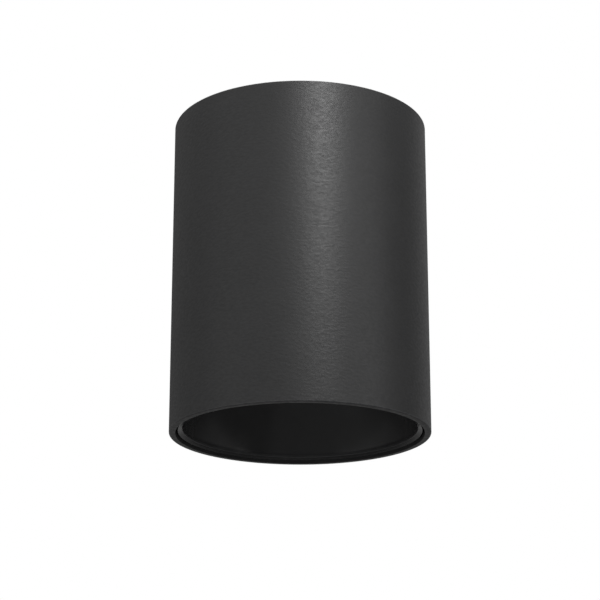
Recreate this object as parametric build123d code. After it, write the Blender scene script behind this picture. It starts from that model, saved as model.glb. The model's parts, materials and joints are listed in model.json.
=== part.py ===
from build123d import *
import os
from math import atan2, cos, degrees, pi, radians, sin, sqrt, tan

# A surface-mounted cylinder downlight. The ceiling is the plane z = 0 and the light hangs below it.
# All sizes are millimetres.

# Housing tube
tube_diameter = 80.0
tube_length = 100.0
tube_wall = 2.0
tube_edge_round = 0.4
bore_edge_round = 0.15
land_width = 6.0
land_thickness = 3.0
land_edge_round = 0.3

# Clearances
running_gap = 0.3
drop_in_gap = 0.1
hole_gap = 0.15

# Ceiling bracket
strap_width = 26.0
strap_thickness = 1.5
strap_bend_radius = 1.2
ear_gap = 3.5
ear_drop = 13.0
ear_width = 16.0
ear_shoulder = 4.0
ear_corner_round = 3.0
slot_spacing = 40.0
slot_width = 4.5
slot_length = 14.0

# Cable bush in the bracket
bush_bore = 9.0
bush_barrel = 12.0
bush_flange = 16.0
bush_flange_height = 1.6
bush_edge_round = 0.5
bush_top_recess = 0.2

# Side grub screws
grub_diameter = 4.0
grub_recess = 0.3
grub_socket_flats = 2.0
grub_socket_depth = 2.0

# Machine screws
screw_diameter = 3.0
screw_head = 5.0
screw_head_height = 2.0
screw_head_bevel = 0.5
recess_length = 2.8
recess_width = 0.6
recess_depth = 1.1
thread_clearance = 0.5

# Heat sink
sink_floor = 5.0
sink_core = 22.0
fin_count = 36
fin_thickness = 1.4
fin_height = 21.0
fin_top_gap = 2.0
fin_edge_gap = 1.2
short_fin_start = 21.0
post_diameter = 7.0
post_edge = 5.2
post_angles = (30, 150, 270)
tray_screw_length = 8.0
land_screw_angles = (90, 210, 330)
tap_floor = 0.6

# Light source
board_size = 19.0
pad_thickness = 0.5
board_thickness = 1.2
emitter_diameter = 11.0
emitter_height = 0.5
holder_diameter = 35.0
holder_height = 4.0
holder_edge_round = 0.8
holder_mouth = 18.0
holder_throat = 13.0
holder_screw_circle = 26.8
holder_head_sink = 2.2
led_entry_depth = 2.4

# Reflector
lip_recess = 0.7
lip_width = 1.45
lip_gap = 0.65
lip_height = 2.8
lip_rise = 0.8
lip_edge_round = 0.12
mouth_edge_round = 0.3
neck_diameter = 17.6
neck_wall = 1.8
neck_ledge = 1.0
reflector_bulge = 4.5
reflector_wall = 1.2
cover_overlap = 0.8
cover_thickness = 1.0

# Reflector springs
spring_angles = (60, 180, 300)
spring_room = 4.0
spring_width = 7.0
spring_thickness = 0.4
spring_bend_radius = 1.0
spring_foot = 8.0
spring_rise = 8.0
spring_lead_in = 5.5
spring_tip_drop = 2.4
spring_pad_width = 9.0
spring_pad_height = 9.6
rivet_diameter = 2.1
rivet_depth = 2.0
rivet_head = 4.0
rivet_head_height = 0.9

# Driver tray
tray_thickness = 1.2
tray_edge_gap = 0.8
grommet_bore = 4.8
grommet_barrel = 6.2
grommet_flange = 7.8
grommet_flange_height = 1.1

# Driver
driver_headroom = 5.0
driver_height = 19.0
driver_offset = 1.0
driver_screw_gap = 1.75
driver_corner_gap = 1.8
driver_wall = 1.5
driver_edge_round = 1.5
driver_floor = 2.0
driver_rim_height = 2.0
driver_tab_length = 5.6
driver_tab_width = 8.0
driver_tab_inset = 9.5
driver_screw_length = 4.0
driver_pillar = 2.5
driver_pillar_diameter = 4.0
driver_board_thickness = 1.6
transformer_size = 13.0
transformer_height = 10.5
winding_overhang = 1.0
winding_height = 7.0
capacitor_diameter = 7.0
capacitor_height = 10.0
component_edge = 1.5

# Terminal block
driver_gap = 2.5
pole_pitch = 10.0
pole_depth = 17.0
pole_height = 13.0
tower_width = 7.6
tower_round = 1.2
valley_height = 8.0
bore_height = 6.0
clamp_diameter = 4.4
clamp_bore = 3.0
clamp_inset = 1.0
entry_diameter = 4.0
clamp_screw_offset = 4.6
clamp_screw_diameter = 2.4
clamp_screw_head = 3.4
clamp_screw_head_height = 1.6
clamp_screw_sink = 2.4
fixing_screw_diameter = 2.5
fixing_screw_head = 4.4
fixing_seat_height = 4.6
fixing_screw_reach = 0.8

# Earth point
earth_screw_diameter = 4.0
earth_screw_length = 4.2
earth_screw_head = 7.0
earth_screw_head_height = 2.4
ring_diameter = 8.0
ring_thickness = 0.8
ring_barrel = 3.4
ring_barrel_length = 4.0
earth_washer_diameter = 7.6
earth_washer_thickness = 0.6
washer_teeth = 10
washer_tooth_depth = 0.8
earth_lead_room = 9.0

# Leads
mains_lead = 2.0
led_lead = 1.6
led_lead_spread = 3.0
lead_hole_room = 4.6
lead_hole_inset = 5.0
led_exit_height = 10.5
lead_reach = 1.3
live_exit_inset = 4.0
neutral_exit_inset = 9.5
live_wall_gap = 9.0
neutral_wall_gap = 5.2
lead_rise = 1.0
led_lead_bend = 2.4
shared_run_use = 0.45
end_run_use = 0.72

# Radii of the round shell
tube_radius = tube_diameter / 2
bore_radius = tube_radius - tube_wall
land_radius = bore_radius - land_width
sink_radius = bore_radius - running_gap
tray_radius = bore_radius - tray_edge_gap
post_circle = sink_radius - post_edge
lip_radius = bore_radius - lip_gap
mouth_radius = lip_radius - lip_width

# Heights of the stack, from the ceiling down
strap_under = -strap_thickness
grub_z = -(ear_drop + ear_shoulder) / 2
driver_top = strap_under - driver_headroom
tray_top = driver_top - driver_height
tray_under = tray_top - tray_thickness
fin_top = tray_under - fin_top_gap
floor_top = fin_top - fin_height
sink_under = floor_top - sink_floor
land_under = sink_under - land_thickness
board_under = sink_under - pad_thickness - board_thickness
holder_under = sink_under - holder_height
neck_top = holder_under - running_gap
lip_under = -(tube_length - lip_recess)

# Driver plan, which fills the room beside the third post
driver_far = post_circle - screw_head / 2 - driver_screw_gap
driver_width = driver_far - driver_offset
driver_y = -(driver_offset + driver_width / 2)
driver_half = sqrt((bore_radius - driver_corner_gap) ** 2 - driver_far ** 2)
driver_floor_top = tray_top + driver_floor
tab_y = -(driver_far - driver_tab_inset)
tab_x = driver_half + driver_tab_length / 2
board_top = driver_floor_top + driver_pillar + driver_board_thickness
cover_inner_half = driver_half - driver_wall
cover_inner_width = driver_width - 2 * driver_wall

# Terminal block plan
block_start = driver_gap - driver_offset
block_y = block_start + 1.5 * pole_pitch
pole_rows = [block_y + step * pole_pitch for step in (-1, 0, 1)]
bore_z = tray_top + bore_height
entry_x = pole_depth / 2
clamp_end = entry_x - clamp_inset

# Earth point plan, level with the first pole
ring_x = entry_x + earth_lead_room + ring_barrel_length + ring_diameter / 2
ring_y = pole_rows[0]
ring_top = tray_top + ring_thickness

# Lead hole through tray and heat sink, and the direction from the axis to it
lead_hole_x = -(driver_half + lead_hole_room)
lead_hole_y = -(driver_offset + lead_hole_inset)
lead_hole_radius = sqrt(lead_hole_x ** 2 + lead_hole_y ** 2)
lead_angle = degrees(atan2(lead_hole_y, lead_hole_x))

# Reflecting arc from neck to mouth, as centre and radius in the plane of radius and height
neck_radius = neck_diameter / 2
cover_radius = neck_radius + cover_overlap
collar_radius = cover_radius + drop_in_gap + neck_wall
arc_start = Vector(neck_radius, neck_top - cover_thickness - neck_ledge)
arc_end = Vector(mouth_radius, lip_under + lip_height / 2)
arc_chord = arc_end - arc_start
arc_radius = (arc_chord.length ** 2 / 4 + reflector_bulge ** 2) / (2 * reflector_bulge)
arc_inward = Vector(arc_chord.Y, -arc_chord.X).normalized()
arc_centre = (arc_start + arc_end) * 0.5 + arc_inward * (arc_radius - reflector_bulge)
outer_arc_radius = arc_radius + reflector_wall


def outer_height(radius):
    """Height of the reflector's outer surface at a radius."""
    return arc_centre.Y + sqrt(outer_arc_radius ** 2 - (radius - arc_centre.X) ** 2)


def outer_radius(height):
    """Radius of the reflector's outer surface at a height."""
    return arc_centre.X + sqrt(outer_arc_radius ** 2 - (height - arc_centre.Y) ** 2)


# Flat pads for the reflector's springs, which start where the outer surface leaves their plane
spring_plane = bore_radius - spring_room
pad_under = outer_height(spring_plane - reflector_wall / 4)
pad_top = pad_under + spring_pad_height
rivet_z = pad_under + spring_foot / 2


def round_bar(diameter, low, high, x=0.0, y=0.0):
    """Upright cylinder between two heights."""
    return Pos(x, y, (low + high) / 2) * Cylinder(diameter / 2, high - low)


def block(size_x, size_y, low, high, x=0.0, y=0.0):
    """Upright box between two heights."""
    return Pos(x, y, (low + high) / 2) * Box(size_x, size_y, high - low)


def polar(radius, angle, z=0.0, sideways=0.0):
    """Point at a radius and angle about the axis, moved sideways along the tangent."""
    along = Vector(cos(radians(angle)), sin(radians(angle)), 0)
    across = Vector(-along.Y, along.X, 0)
    return along * radius + across * sideways + Vector(0, 0, z)


def turned_profile(*points):
    """Closed outline of radius and height pairs, in the plane that is turned about the axis."""
    return Plane.XZ * make_face(Polyline(*points, close=True))


def group(shapes):
    """Separate solids kept together as one node."""
    return Compound(children=[solid for shape in shapes for solid in shape.solids()])


def screw(diameter, length, head, head_height, cross=True):
    """Screw standing on its shank, with the underside of its head at z = 0."""
    cap = round_bar(head, 0, head_height)
    cap = chamfer(cap.edges().group_by(Axis.Z)[-1], screw_head_bevel)
    driver_slot = block(recess_length, recess_width, head_height - recess_depth, head_height)
    body = cap + round_bar(diameter, -length, 0) - driver_slot
    if cross:
        body = body - Rot(0, 0, 90) * driver_slot
    return body


def make_housing_tube():
    outline = turned_profile(
        (tube_radius, 0),
        (bore_radius, 0),
        (bore_radius, sink_under),
        (land_radius, sink_under),
        (land_radius, land_under),
        (bore_radius, land_under),
        (bore_radius, -tube_length),
        (tube_radius, -tube_length),
    )
    outline = fillet(outline.vertices().group_by(Axis.X)[-1], tube_edge_round)
    outline = fillet(outline.vertices().group_by(Axis.X)[0], land_edge_round)
    bore_corners = outline.vertices().filter_by(lambda corner: abs(corner.X - bore_radius) < hole_gap)
    bore_ends = bore_corners.sort_by(Axis.Z)
    outline = fillet([bore_ends[0], bore_ends[-1]], bore_edge_round)
    tube = revolve(outline, Axis.Z)
    side_hole = Pos(tube_radius, 0, grub_z) * Rot(0, 90, 0)
    side_hole = side_hole * Cylinder(grub_diameter / 2 + hole_gap, 4 * tube_wall)
    holes = [side_hole, Rot(0, 0, 180) * side_hole]
    for angle in land_screw_angles:
        at = polar(bore_radius - land_width / 2, angle)
        holes.append(round_bar(screw_diameter + 2 * hole_gap, land_under, sink_under, at.X, at.Y))
    return tube - holes


def make_ceiling_bracket():
    ear_face = bore_radius - ear_gap
    outer = Pos(0, -ear_drop / 2) * Rectangle(2 * ear_face, ear_drop)
    outer = fillet(outer.vertices().group_by(Axis.Y)[-1], strap_bend_radius + strap_thickness)
    inner = Pos(0, -strap_thickness - ear_drop / 2) * Rectangle(2 * (ear_face - strap_thickness), ear_drop)
    inner = fillet(inner.vertices().group_by(Axis.Y)[-1], strap_bend_radius)
    strap = extrude(Plane.XZ * (outer - inner), strap_width / 2, both=True)
    trim = block(4 * tube_diameter, strap_width, -2 * ear_drop, -ear_shoulder)
    side_shift = (ear_width + strap_width) / 2
    strap = strap - [Pos(0, side_shift, 0) * trim, Pos(0, -side_shift, 0) * trim]
    across = strap.edges().filter_by(Axis.X)
    strap = fillet(across.group_by(Axis.Z)[0], ear_corner_round)
    slot = Pos(0, 0, -strap_thickness) * extrude(SlotOverall(slot_length, slot_width), strap_thickness)
    cuts = [Pos(side * slot_spacing / 2, 0, 0) * slot for side in (-1, 1)]
    cuts.append(round_bar(bush_barrel + 2 * drop_in_gap, -strap_thickness, 0))
    return strap - cuts


def make_cable_bush():
    flange_under = strap_under - bush_flange_height
    outline = turned_profile(
        (bush_bore / 2, -bush_top_recess),
        (bush_barrel / 2, -bush_top_recess),
        (bush_barrel / 2, strap_under),
        (bush_flange / 2, strap_under),
        (bush_flange / 2, flange_under),
        (bush_bore / 2, flange_under),
    )
    bush = revolve(outline, Axis.Z)
    mouth = bush.edges().group_by(Axis.Z)[0]
    return fillet(mouth, bush_edge_round)


def make_side_grub_screws():
    outer = tube_radius - grub_recess
    inner = bore_radius - ear_gap + running_gap
    bar = Cylinder(grub_diameter / 2, outer - inner)
    socket = extrude(RegularPolygon(grub_socket_flats / 2, 6, major_radius=False), grub_socket_depth)
    bar = bar - Pos(0, 0, (outer - inner) / 2 - grub_socket_depth) * socket
    grub = Pos((outer + inner) / 2, 0, grub_z) * Rot(0, 90, 0) * bar
    return group([grub, Rot(0, 0, 180) * grub])


def make_heat_sink():
    fin_end = sink_radius - fin_edge_gap
    fins = []
    for index in range(fin_count):
        start = sink_core / 4 if index % 2 == 0 else short_fin_start
        fin = Pos((start + fin_end) / 2, 0) * SlotOverall(fin_end - start, fin_thickness)
        fins.append(Rot(0, 0, 360 / fin_count * index) * fin)
    plan = Circle(sink_core / 2) + fins
    channel = Pos(lead_hole_x, lead_hole_y) * Circle(grommet_flange / 2 + running_gap)
    body = Pos(0, 0, floor_top) * extrude(plan - channel, fin_height)
    body = body + round_bar(2 * sink_radius, sink_under, floor_top)
    holes = [round_bar(grommet_bore, sink_under, floor_top, lead_hole_x, lead_hole_y)]
    for angle in post_angles:
        at = polar(post_circle, angle)
        body = body + round_bar(post_diameter, floor_top, tray_under, at.X, at.Y)
        tap_end = tray_under - tray_screw_length
        holes.append(round_bar(screw_diameter, tap_end, tray_under, at.X, at.Y))
    tap_top = floor_top - tap_floor
    for angle in land_screw_angles:
        at = polar(bore_radius - land_width / 2, angle)
        holes.append(round_bar(screw_diameter, sink_under, tap_top, at.X, at.Y))
    for angle in holder_screw_angles():
        at = polar(holder_screw_circle / 2, angle)
        holes.append(round_bar(screw_diameter, sink_under, tap_top, at.X, at.Y))
    return body - holes


def holder_screw_angles():
    """The two holder screws stand square to the direction of the lead hole."""
    return (lead_angle - 90, lead_angle + 90)


def make_heat_sink_screws():
    length = land_thickness + sink_floor - tap_floor - thread_clearance
    upside_down = Rot(180, 0, 0) * screw(screw_diameter, length, screw_head, screw_head_height)
    circle = bore_radius - land_width / 2
    return group([Pos(polar(circle, angle, land_under)) * upside_down for angle in land_screw_angles])


def make_thermal_pad():
    pad = block(board_size, board_size, sink_under - pad_thickness, sink_under)
    return Rot(0, 0, lead_angle) * pad


def make_led_board():
    board = block(board_size, board_size, board_under, sink_under - pad_thickness)
    return Rot(0, 0, lead_angle) * board


def make_led_emitter():
    disc = round_bar(emitter_diameter, board_under - emitter_height, board_under)
    return fillet(disc.edges().group_by(Axis.Z)[0], emitter_height / 2)


def make_led_holder():
    ring = round_bar(holder_diameter, holder_under, sink_under)
    ring = fillet(ring.edges().group_by(Axis.Z)[0], holder_edge_round)
    pocket_floor = board_under - drop_in_gap
    pocket_size = board_size + 2 * drop_in_gap
    throat_height = pocket_floor - holder_under
    throat = Cone(holder_mouth / 2, holder_throat / 2, throat_height)
    cuts = [
        block(pocket_size, pocket_size, pocket_floor, sink_under),
        Pos(0, 0, holder_under + throat_height / 2) * throat,
    ]
    head_floor = holder_under + holder_head_sink
    for side in (-1, 1):
        y = side * holder_screw_circle / 2
        cuts.append(round_bar(screw_diameter + 2 * hole_gap, holder_under, sink_under, 0, y))
        cuts.append(round_bar(screw_head + 4 * hole_gap, holder_under, head_floor, 0, y))
        entry = Rot(0, 90, 0) * Cylinder(led_lead / 2 + hole_gap, 2 * led_entry_depth)
        cuts.append(Pos(holder_diameter / 2, side * led_lead_spread / 2, board_under) * entry)
    return Rot(0, 0, lead_angle) * (ring - cuts)


def make_led_holder_screws():
    head_floor = holder_under + holder_head_sink
    length = sink_under - head_floor + sink_floor - tap_floor - thread_clearance
    upside_down = Rot(180, 0, 0) * screw(screw_diameter, length, screw_head, screw_head_height)
    circle = holder_screw_circle / 2
    return group([Pos(polar(circle, angle, head_floor)) * upside_down for angle in holder_screw_angles()])


def make_driver_tray():
    tray = round_bar(2 * tray_radius, tray_under, tray_top)
    spots = [(polar(post_circle, angle), screw_diameter) for angle in post_angles]
    spots += [(Vector(side * tab_x, tab_y), screw_diameter) for side in (-1, 1)]
    spots += [(Vector(0, y), fixing_screw_diameter) for y in fixing_rows()]
    spots.append((Vector(ring_x, ring_y), earth_screw_diameter))
    spots.append((Vector(lead_hole_x, lead_hole_y), grommet_barrel))
    return tray - [round_bar(d + 2 * hole_gap, tray_under, tray_top, at.X, at.Y) for at, d in spots]


def make_tray_screws():
    length = tray_screw_length - thread_clearance + tray_thickness
    upright = screw(screw_diameter, length, screw_head, screw_head_height)
    return group([Pos(polar(post_circle, angle, tray_top)) * upright for angle in post_angles])


def make_tray_grommet():
    upper = tray_top + grommet_flange_height
    lower = tray_under - grommet_flange_height
    outline = turned_profile(
        (grommet_bore / 2, upper),
        (grommet_flange / 2, upper),
        (grommet_flange / 2, tray_top),
        (grommet_barrel / 2, tray_top),
        (grommet_barrel / 2, tray_under),
        (grommet_flange / 2, tray_under),
        (grommet_flange / 2, lower),
        (grommet_bore / 2, lower),
    )
    return Pos(lead_hole_x, lead_hole_y, 0) * revolve(outline, Axis.Z)


def make_driver_base():
    base = block(2 * driver_half, driver_width, tray_top, driver_floor_top, 0, driver_y)
    across_tabs = 2 * tab_x + driver_tab_length
    base = base + block(across_tabs, driver_tab_width, tray_top, driver_floor_top, 0, tab_y)
    rim_half = cover_inner_half - drop_in_gap
    rim_width = cover_inner_width - 2 * drop_in_gap
    rim_top = driver_floor_top + driver_rim_height
    rim = block(2 * rim_half, rim_width, driver_floor_top, rim_top, 0, driver_y)
    rim_inside = block(
        2 * (rim_half - driver_wall), rim_width - 2 * driver_wall, driver_floor_top, rim_top, 0, driver_y
    )
    base = base + (rim - rim_inside)
    pillar_top = driver_floor_top + driver_pillar
    for x, y in pillar_places():
        base = base + round_bar(driver_pillar_diameter, driver_floor_top, pillar_top, x, y)
    holes = [
        round_bar(screw_diameter + 2 * hole_gap, tray_top, driver_floor_top, side * tab_x, tab_y)
        for side in (-1, 1)
    ]
    return base - holes


def pillar_places():
    """Four pillars under the corners of the driver's board."""
    inset = driver_wall + driver_pillar_diameter
    x = cover_inner_half - inset
    y = cover_inner_width / 2 - inset
    return [(side * x, driver_y + end * y) for side in (-1, 1) for end in (-1, 1)]


def make_driver_cover():
    shell = block(2 * driver_half, driver_width, driver_floor_top, driver_top, 0, driver_y)
    rounded = shell.edges().filter_by(Axis.Z) + shell.edges().group_by(Axis.Z)[-1]
    shell = fillet(rounded, driver_edge_round)
    ceiling = driver_top - driver_wall
    cuts = [block(2 * cover_inner_half, cover_inner_width, driver_floor_top, ceiling, 0, driver_y)]
    for inset in (live_exit_inset, neutral_exit_inset):
        cuts.append(end_hole(mains_lead, driver_half, -(driver_offset + inset), bore_z))
    for side in (-1, 1):
        at = led_lead_at(side)
        cuts.append(end_hole(led_lead, -driver_half, at.Y, tray_top + led_exit_height))
    return shell - cuts


def end_hole(lead, x, y, z):
    """Hole for a lead through an end wall of the driver's cover."""
    return Pos(x, y, z) * Rot(0, 90, 0) * Cylinder(lead / 2 + hole_gap, 2 * driver_wall + 2 * drop_in_gap)


def make_driver_board():
    length = 2 * (cover_inner_half - component_edge)
    width = cover_inner_width - 2 * component_edge
    return block(length, width, board_top - driver_board_thickness, board_top, 0, driver_y)


def make_driver_transformer():
    x = cover_inner_half - 2 * component_edge - transformer_size / 2
    core = block(transformer_size, transformer_size, board_top, board_top + transformer_height, x, driver_y)
    gap = (transformer_height - winding_height) / 2
    winding = block(
        transformer_size - 2 * winding_overhang,
        transformer_size + 2 * winding_overhang,
        board_top + gap,
        board_top + gap + winding_height,
        x,
        driver_y,
    )
    return core + fillet(winding.edges().filter_by(Axis.Z), winding_overhang)


def make_driver_capacitors():
    x = -(cover_inner_half - 2 * component_edge - capacitor_diameter / 2)
    y_step = cover_inner_width / 2 - 2 * component_edge - capacitor_diameter / 2
    can = round_bar(capacitor_diameter, board_top, board_top + capacitor_height, x, driver_y)
    can = chamfer(can.edges().group_by(Axis.Z)[-1], screw_head_bevel)
    return group([Pos(0, side * y_step, 0) * can for side in (-1, 1)])


def make_driver_screws():
    upright = screw(screw_diameter, driver_screw_length, screw_head, screw_head_height)
    return group([Pos(side * tab_x, tab_y, driver_floor_top) * upright for side in (-1, 1)])


def fixing_rows():
    """The two fixing screws stand between the poles."""
    return [(low + high) / 2 for low, high in zip(pole_rows, pole_rows[1:])]


def make_terminal_block():
    body = block(pole_depth, 3 * pole_pitch, tray_top, tray_top + valley_height, 0, block_y)
    cuts = []
    for y in pole_rows:
        tower = block(pole_depth, tower_width, tray_top, tray_top + pole_height, 0, y)
        body = body + fillet(tower.edges().filter_by(Axis.X).group_by(Axis.Z)[-1], tower_round)
        along = Pos(0, y, bore_z) * Rot(0, 90, 0)
        cuts.append(along * Cylinder(clamp_diameter / 2 + drop_in_gap, 2 * clamp_end))
        cuts.append(along * Cylinder(entry_diameter / 2, pole_depth))
        for side in (-1, 1):
            x = side * clamp_screw_offset
            well = clamp_screw_head + 2 * hole_gap
            cuts.append(round_bar(well, bore_z, tray_top + pole_height, x, y))
    for y in fixing_rows():
        seat = tray_top + fixing_seat_height
        cuts.append(round_bar(fixing_screw_diameter + 2 * hole_gap, tray_top, seat, 0, y))
        cuts.append(round_bar(fixing_screw_head + 2 * hole_gap, seat, tray_top + pole_height, 0, y))
    return body - cuts


def make_terminal_clamps():
    bar = Cylinder(clamp_diameter / 2, 2 * clamp_end) - Cylinder(clamp_bore / 2, 2 * clamp_end)
    lying = Rot(0, 90, 0) * bar
    for side in (-1, 1):
        tapped = clamp_screw_diameter + 2 * drop_in_gap
        lying = lying - round_bar(tapped, 0, clamp_diameter, side * clamp_screw_offset)
    return group([Pos(0, y, bore_z) * lying for y in pole_rows])


def make_terminal_screws():
    head_seat = tray_top + pole_height - clamp_screw_sink - clamp_screw_head_height
    reach = head_seat - bore_z
    slotted = screw(clamp_screw_diameter, reach, clamp_screw_head, clamp_screw_head_height, cross=False)
    places = [(side * clamp_screw_offset, y) for y in pole_rows for side in (-1, 1)]
    return group([Pos(x, y, head_seat) * slotted for x, y in places])


def make_terminal_fixing_screws():
    length = fixing_seat_height + tray_thickness + fixing_screw_reach
    upright = screw(fixing_screw_diameter, length, fixing_screw_head, screw_head_height)
    return group([Pos(0, y, tray_top + fixing_seat_height) * upright for y in fixing_rows()])


def make_earth_ring():
    ring = round_bar(ring_diameter, tray_top, ring_top)
    barrel_end = -(ring_diameter / 2 + ring_barrel_length)
    neck = block(ring_diameter / 2, ring_barrel, tray_top, ring_top, -3 * ring_diameter / 8)
    barrel_z = tray_top + ring_barrel / 2
    barrel = Pos(barrel_end + ring_barrel_length / 2, 0, barrel_z) * Rot(0, 90, 0)
    tag = ring + neck + barrel * Cylinder(ring_barrel / 2, ring_barrel_length)
    tag = tag - barrel * Cylinder(mains_lead / 2 + hole_gap, ring_barrel_length)
    tag = tag - round_bar(earth_screw_diameter + 2 * hole_gap, tray_top, ring_top)
    return Pos(ring_x, ring_y, 0) * tag


def make_earth_washer():
    plan = Circle(earth_washer_diameter / 2) - Circle(earth_screw_diameter / 2 + hole_gap)
    pitch = pi * earth_washer_diameter / washer_teeth
    notch = Pos(earth_washer_diameter / 2, 0) * Rectangle(2 * washer_tooth_depth, pitch / 2)
    plan = plan - [Rot(0, 0, 360 / washer_teeth * index) * notch for index in range(washer_teeth)]
    return Pos(ring_x, ring_y, ring_top) * extrude(plan, earth_washer_thickness)


def make_earth_screw():
    upright = screw(earth_screw_diameter, earth_screw_length, earth_screw_head, earth_screw_head_height)
    return Pos(ring_x, ring_y, ring_top + earth_washer_thickness) * upright


def lead_radii(points):
    """Largest arcs that the runs allow: end runs serve one corner, the others two."""
    runs = [end - start for start, end in zip(points, points[1:])]
    free = [shared_run_use * run.length for run in runs]
    free[0] = end_run_use * runs[0].length
    free[-1] = end_run_use * runs[-1].length
    radii = []
    for index, (before, after) in enumerate(zip(runs, runs[1:])):
        half_turn = radians(before.get_angle(after)) / 2
        radii.append(min(free[index], free[index + 1]) / tan(half_turn))
    return radii


def make_lead(name, diameter, points, last_bend=None):
    """Round lead along straight runs and tangent arcs, with its last bend held to a given radius."""
    radii = lead_radii(points)
    if last_bend is not None:
        radii[-1] = last_bend
    path = FilletPolyline(*points, radius=radii)
    section = Plane(origin=path @ 0, z_dir=path % 0) * Circle(diameter / 2)
    lead = sweep(section, path=path)
    ratio = lead.volume / (path.length * pi * diameter ** 2 / 4)
    print(name, "radii", [round(radius, 1) for radius in radii], "volume ratio", round(ratio, 4))
    return lead


def mains_route(exit_inset, wall_gap, pole_y):
    """From the driver's end, out beside the tube's wall and back into a pole of the terminal block."""
    exit_y = -(driver_offset + exit_inset)
    side_x = bore_radius - wall_gap
    middle_y = (exit_y + pole_y) / 2
    corner_x = sqrt(side_x ** 2 - pole_y ** 2) - mains_lead
    return [
        Vector(driver_half - lead_reach, exit_y, bore_z),
        Vector(side_x, exit_y, bore_z),
        Vector(side_x, middle_y, bore_z + lead_rise),
        Vector(corner_x, pole_y, bore_z),
        Vector(clamp_end - lead_reach, pole_y, bore_z),
    ]


def make_live_lead():
    points = mains_route(live_exit_inset, live_wall_gap, pole_rows[1])
    return make_lead("live lead", mains_lead, points)


def make_neutral_lead():
    points = mains_route(neutral_exit_inset, neutral_wall_gap, pole_rows[2])
    return make_lead("neutral lead", mains_lead, points)


def make_earth_lead():
    barrel_start = ring_x - ring_diameter / 2 - ring_barrel_length
    barrel_z = tray_top + ring_barrel / 2
    points = [
        Vector(clamp_end - lead_reach, ring_y, bore_z),
        Vector(entry_x + earth_lead_room / 3, ring_y, bore_z),
        Vector(barrel_start - earth_lead_room / 3, ring_y, barrel_z),
        Vector(barrel_start + ring_barrel_length / 2, ring_y, barrel_z),
    ]
    return make_lead("earth lead", mains_lead, points)


def led_lead_at(side):
    """Place of one LED lead in the lead hole."""
    return polar(lead_hole_radius, lead_angle, 0, side * led_lead_spread / 2)


def make_led_lead(name, side):
    at = led_lead_at(side)
    exit_z = tray_top + led_exit_height
    entry_end = holder_diameter / 2 - led_entry_depth + drop_in_gap
    entry = polar(entry_end, lead_angle, board_under, side * led_lead_spread / 2)
    points = [
        Vector(-(driver_half - lead_reach), at.Y, exit_z),
        Vector(at.X, at.Y, exit_z),
        Vector(at.X, at.Y, board_under),
        entry,
    ]
    return make_lead(name, led_lead, points, led_lead_bend)


def make_led_lead_positive():
    return make_led_lead("LED positive lead", 1)


def make_led_lead_negative():
    return make_led_lead("LED negative lead", -1)


def arc_point(radius, start, end):
    """Middle point of an arc about the reflector's arc centre."""
    middle = ((start + end) * 0.5 - arc_centre).normalized()
    return arc_centre + middle * radius


def make_reflector():
    lip_top = lip_under + lip_height
    mouth_edge = Vector(mouth_radius, lip_under + lip_rise)
    skirt = Vector(outer_radius(lip_top), lip_top)
    shoulder = Vector(collar_radius, outer_height(collar_radius))
    seat_radius = cover_radius + drop_in_gap
    seat = neck_top - cover_thickness
    outer_arc = ThreePointArc(skirt, arc_point(outer_arc_radius, skirt, shoulder), shoulder)
    outline = Curve() + [
        ThreePointArc(arc_start, arc_point(arc_radius, arc_start, arc_end), arc_end),
        Polyline(arc_end, mouth_edge, (lip_radius, lip_under), (lip_radius, lip_top), skirt),
        outer_arc,
        Polyline(
            shoulder,
            (collar_radius, neck_top),
            (seat_radius, neck_top),
            (seat_radius, seat),
            (neck_radius, seat),
            arc_start,
        ),
    ]
    wall = make_face(outline.edges())
    wall = fillet(wall.vertices().sort_by_distance(mouth_edge)[0], mouth_edge_round)
    wall = fillet(wall.vertices().group_by(Axis.Y)[0], lip_edge_round)
    shell = revolve(Plane.XZ * wall, Axis.Z)
    inside = Curve() + [outer_arc, Polyline(shoulder, (0, shoulder.Y), (0, lip_top), skirt)]
    hollow = revolve(Plane.XZ * make_face(inside.edges()), Axis.Z)
    pad_depth = spring_plane - outer_radius(pad_top) + reflector_wall
    pad = block(pad_depth, spring_pad_width, pad_under, pad_top, spring_plane - pad_depth / 2)
    pad = pad - hollow
    bore = Rot(0, 90, 0) * Cylinder(rivet_diameter / 2 + drop_in_gap, 2 * rivet_depth)
    bore = Pos(spring_plane, 0, rivet_z) * bore
    turns = [Rot(0, 0, angle) for angle in spring_angles]
    return shell + [turn * pad for turn in turns] - [turn * bore for turn in turns]


def make_reflector_springs():
    apex = sqrt((bore_radius - running_gap) ** 2 - (spring_width / 2) ** 2) - spring_thickness
    foot_top = pad_under + spring_foot
    rise_top = foot_top + spring_rise
    line = FilletPolyline(
        (spring_plane, pad_under),
        (spring_plane, foot_top),
        (apex, rise_top),
        (apex - spring_tip_drop, rise_top + spring_lead_in),
        radius=spring_bend_radius,
    )
    strip = make_face(offset(line, spring_thickness, side=Side.RIGHT).edges())
    leaf = extrude(Plane.XZ * strip, spring_width / 2, both=True)
    hole = Rot(0, 90, 0) * Cylinder(rivet_diameter / 2 + drop_in_gap, 4 * spring_thickness)
    leaf = leaf - Pos(spring_plane, 0, rivet_z) * hole
    return group([Rot(0, 0, angle) * leaf for angle in spring_angles])


def make_spring_rivets():
    shank = round_bar(rivet_diameter, -(rivet_depth + spring_thickness), 0)
    head = round_bar(rivet_head, 0, rivet_head_height)
    head = fillet(head.edges().group_by(Axis.Z)[-1], rivet_head_height / 2)
    rivet = Pos(spring_plane + spring_thickness, 0, rivet_z) * Rot(0, 90, 0) * (head + shank)
    return group([Rot(0, 0, angle) * rivet for angle in spring_angles])


def make_emitter_cover():
    return round_bar(2 * cover_radius, neck_top - cover_thickness, neck_top)


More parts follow.
